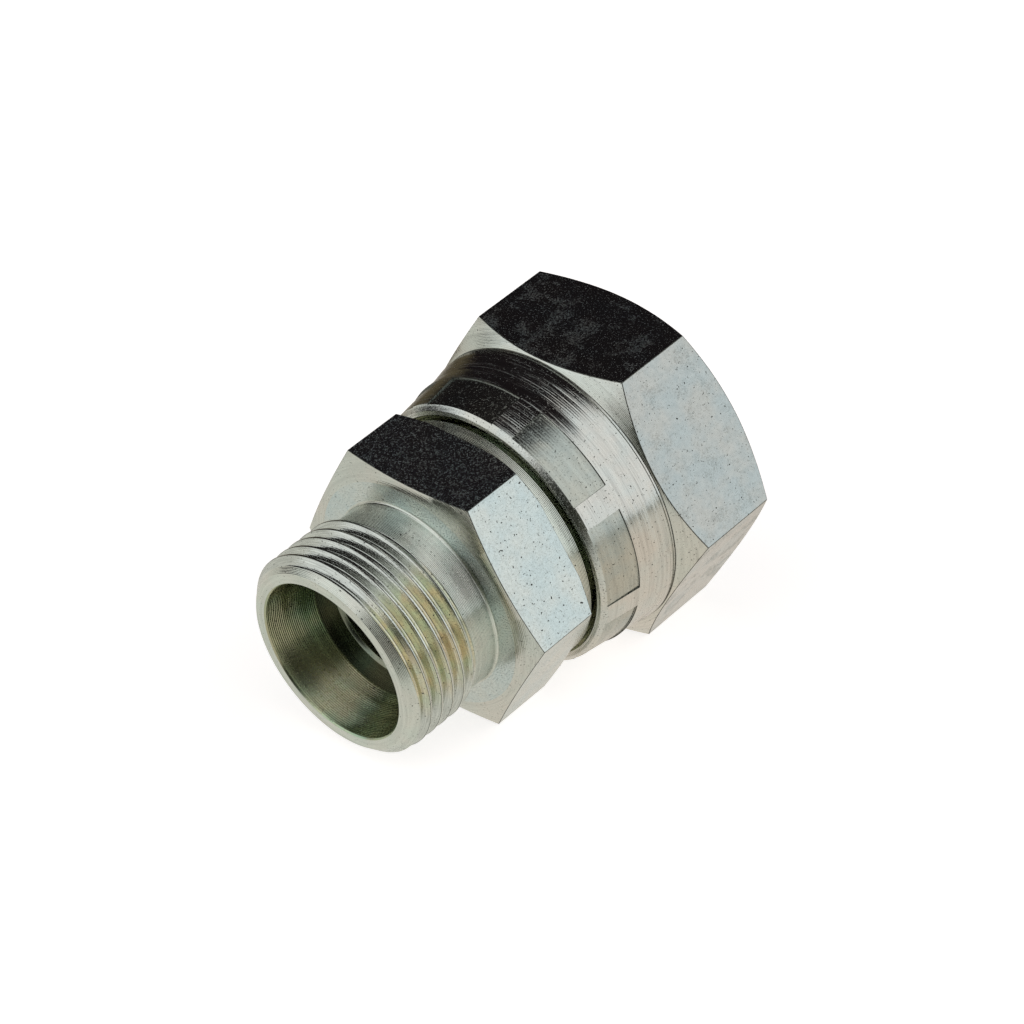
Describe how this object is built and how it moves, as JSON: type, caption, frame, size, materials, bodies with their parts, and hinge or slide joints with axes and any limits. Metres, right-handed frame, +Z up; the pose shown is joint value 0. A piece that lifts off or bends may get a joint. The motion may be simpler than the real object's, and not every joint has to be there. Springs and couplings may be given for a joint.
{
  "type": "swivel tube fitting",
  "caption": "Straight steel tube adapter: a threaded stud with a conical tube socket, a wrench hexagon, and a crimped-on swivel nut over a flat sealing face.",
  "frame": {"origin": "on the surface the fitting lies on, at the centre of its outline seen from above", "axes": "+X along the fitting from the stud end to the nut, level, with the turning axis in the XZ plane and rising 7.39 degrees towards the nut; +Z up, square to the resting surface"},
  "size_m": [0.0468, 0.037, 0.0333],
  "materials": {
    "body_steel": "turned hexagon bar steel, zinc plated with a thin clear passivation",
    "nut_steel": "turned hexagon bar steel, zinc plated with a thin clear passivation, scuffed on the flats"
  },
  "bodies": {
    "body": {"adapter_body": "body_steel"},
    "nut": {"swivel_nut": "nut_steel"}
  },
  "joints": [
    {"name": "nut_swivel", "type": "hinge", "parent": "body", "child": "nut", "pos_m": [0.00313, 0, 0.01509], "axis": [0.9917, 0, 0.1287], "continuous": true}
  ]
}
